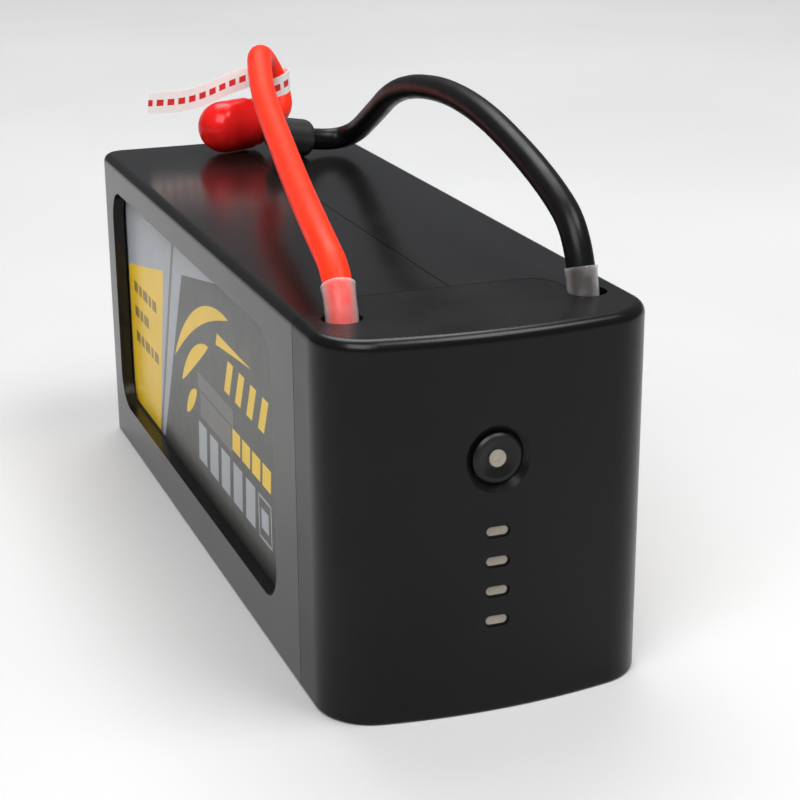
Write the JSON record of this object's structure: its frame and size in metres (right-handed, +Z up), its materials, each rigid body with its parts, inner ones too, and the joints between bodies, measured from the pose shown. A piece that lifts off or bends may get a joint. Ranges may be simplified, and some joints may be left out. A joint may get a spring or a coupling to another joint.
{
  "type": "lipo battery pack",
  "caption": "Boxy rechargeable drone battery with a push button, charge lights, window labels and two heavy silicone leads with bullet connectors.",
  "frame": {"origin": "middle of the flat bottom that the pack stands on", "axes": "+Z up, +X across the pack, -Y towards the front cap with the button and lights"},
  "size_m": [0.072, 0.205, 0.1144],
  "materials": {
    "shell_plastic": "satin, slightly reflective on the top",
    "cap_plastic": "satin",
    "window_plastic": "clear gloss polycarbonate sheet",
    "label_print": "printed film, dark grey with silver and yellow fields",
    "button_plastic": "satin",
    "light_pipe_plastic": "translucent, milky",
    "component_plastic": "moulded black",
    "lamp_resin": "clear resin",
    "circuit_board": "green solder mask",
    "steel": "plated",
    "cell_pouch": "aluminium laminate, slightly embossed",
    "tab_aluminium": "bright",
    "tab_nickel": "nickel plated copper",
    "foam": "soft closed-cell foam",
    "insulator_plastic": "fibre-filled",
    "silicone_pad": "soft pad",
    "spreader_aluminium": "brushed",
    "copper": "tinned edges",
    "red_silicone": "satin silicone",
    "black_silicone": "satin silicone",
    "clear_sleeve": "clear heat-shrink film",
    "red_plastic": "moulded",
    "gold_plate": "gold plated",
    "red_clear_plastic": "translucent red",
    "black_plastic": "moulded",
    "tag_paper": "white adhesive paper strip"
  },
  "bodies": {
    "pack": {"left_shell": "shell_plastic", "right_shell": "shell_plastic", "front_cap": "cap_plastic", "left_window_cover": "window_plastic", "right_window_cover": "window_plastic", "left_label": "label_print", "right_label": "label_print", "switch_body": "component_plastic", "light_pipe_1": "light_pipe_plastic", "light_pipe_2": "light_pipe_plastic", "light_pipe_3": "light_pipe_plastic", "light_pipe_4": "light_pipe_plastic", "indicator_lamps": "lamp_resin", "indicator_board": "circuit_board", "indicator_board_screws": "steel", "cell_1": "cell_pouch", "cell_2": "cell_pouch", "cell_3": "cell_pouch", "cell_4": "cell_pouch", "cell_5": "cell_pouch", "cell_6": "cell_pouch", "positive_cell_tabs": "tab_aluminium", "negative_cell_tabs": "tab_nickel", "cell_links": "tab_nickel", "cell_spacer_pads": "foam", "bottom_foam_pad": "foam", "top_foam_pad": "foam", "rear_foam_pad": "foam", "tab_insulator": "insulator_plastic", "main_board": "circuit_board", "main_board_screws": "steel", "power_transistors": "component_plastic", "thermal_pad": "silicone_pad", "heat_spreader": "spreader_aluminium", "controller_chip": "component_plastic", "current_shunts": "steel", "board_link_header": "component_plastic", "positive_busbar": "copper", "negative_busbar": "copper", "lug_screws": "steel", "busbar_spacers": "copper", "red_lead": "red_silicone", "black_lead": "black_silicone", "red_lead_sleeve": "clear_sleeve", "black_lead_sleeve": "clear_sleeve", "red_lead_lug": "copper", "black_lead_lug": "copper", "red_connector_housing": "red_plastic", "red_connector_contact": "gold_plate", "black_connector_housing": "black_plastic", "black_connector_contact": "gold_plate", "black_connector_cap": "black_plastic", "warning_tag": "tag_paper"},
    "button": {"button_cap": "button_plastic", "button_lens": "light_pipe_plastic", "switch_plunger": "button_plastic"},
    "red_cap": {"red_connector_cap": "red_clear_plastic"}
  },
  "joints": [
    {"name": "button_press", "type": "slide", "parent": "pack", "child": "button", "axis": [0, 1, 0], "range_m": [0, 0.0008], "stiffness_N_per_m": 2000},
    {"name": "red_cap_pull", "type": "slide", "parent": "pack", "child": "red_cap", "axis": [-0.9142, -0.4053, 0], "range_m": [0, 0.016]}
  ]
}
